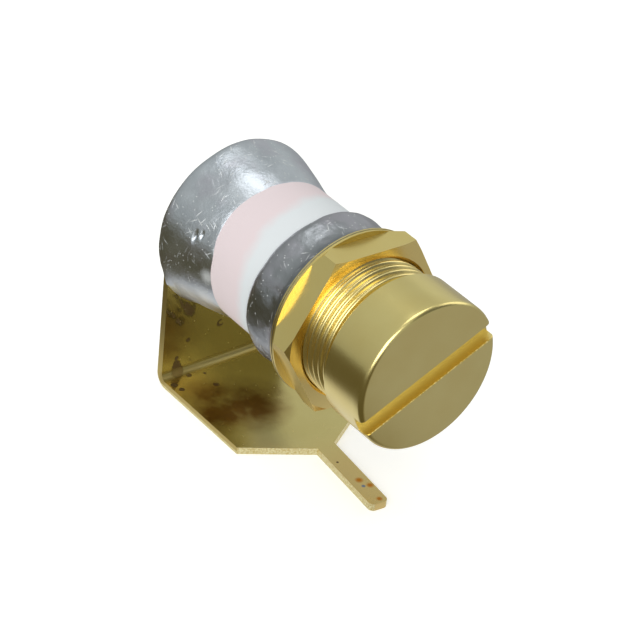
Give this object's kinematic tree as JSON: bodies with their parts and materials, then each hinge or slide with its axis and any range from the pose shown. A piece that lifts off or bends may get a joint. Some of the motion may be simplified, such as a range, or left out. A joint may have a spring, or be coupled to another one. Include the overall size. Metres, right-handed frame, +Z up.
{
  "type": "trimmer capacitor",
  "caption": "Tubular air trimmer capacitor with ceramic insulator, hexagonal bushing, slotted tuning screw and a folded brass solder terminal with a foot and pin.",
  "frame": {"origin": "on the underside of the foot, in the middle of its solder pad, on the part's middle plane", "axes": "+X along the barrel from the terminal's wall to the slotted head, +Y across the foot, +Z up from the foot to the barrel"},
  "size_m": [0.0122, 0.0074, 0.0101],
  "materials": {
    "gold_plate": "gold plating over brass, satin, tarnished to olive",
    "ceramic": "unglazed white alumina, ground smooth",
    "solder": "tin-lead solder, scratched and dull grey"
  },
  "bodies": {
    "housing": {"terminal_bracket": "gold_plate", "stator": "gold_plate", "ceramic_ring": "ceramic", "rear_solder": "solder", "bushing": "gold_plate", "front_solder": "solder"},
    "rotor": {"rotor_rings": "gold_plate"},
    "screw": {"drive_screw": "gold_plate"}
  },
  "joints": [
    {"name": "rotor_travel", "type": "slide", "parent": "housing", "child": "rotor", "axis": [1, 0, 0], "range_m": [-0.00127, 0.00064]},
    {"name": "screw_turn", "type": "hinge", "parent": "rotor", "child": "screw", "pos_m": [0.00375, 0, 0.00662], "axis": [1, 0, 0], "range_deg": [-1441, 721]}
  ],
  "couplings": [
    {"joint": "screw_turn", "follows": "rotor_travel", "rad_per_m": 19790}
  ]
}
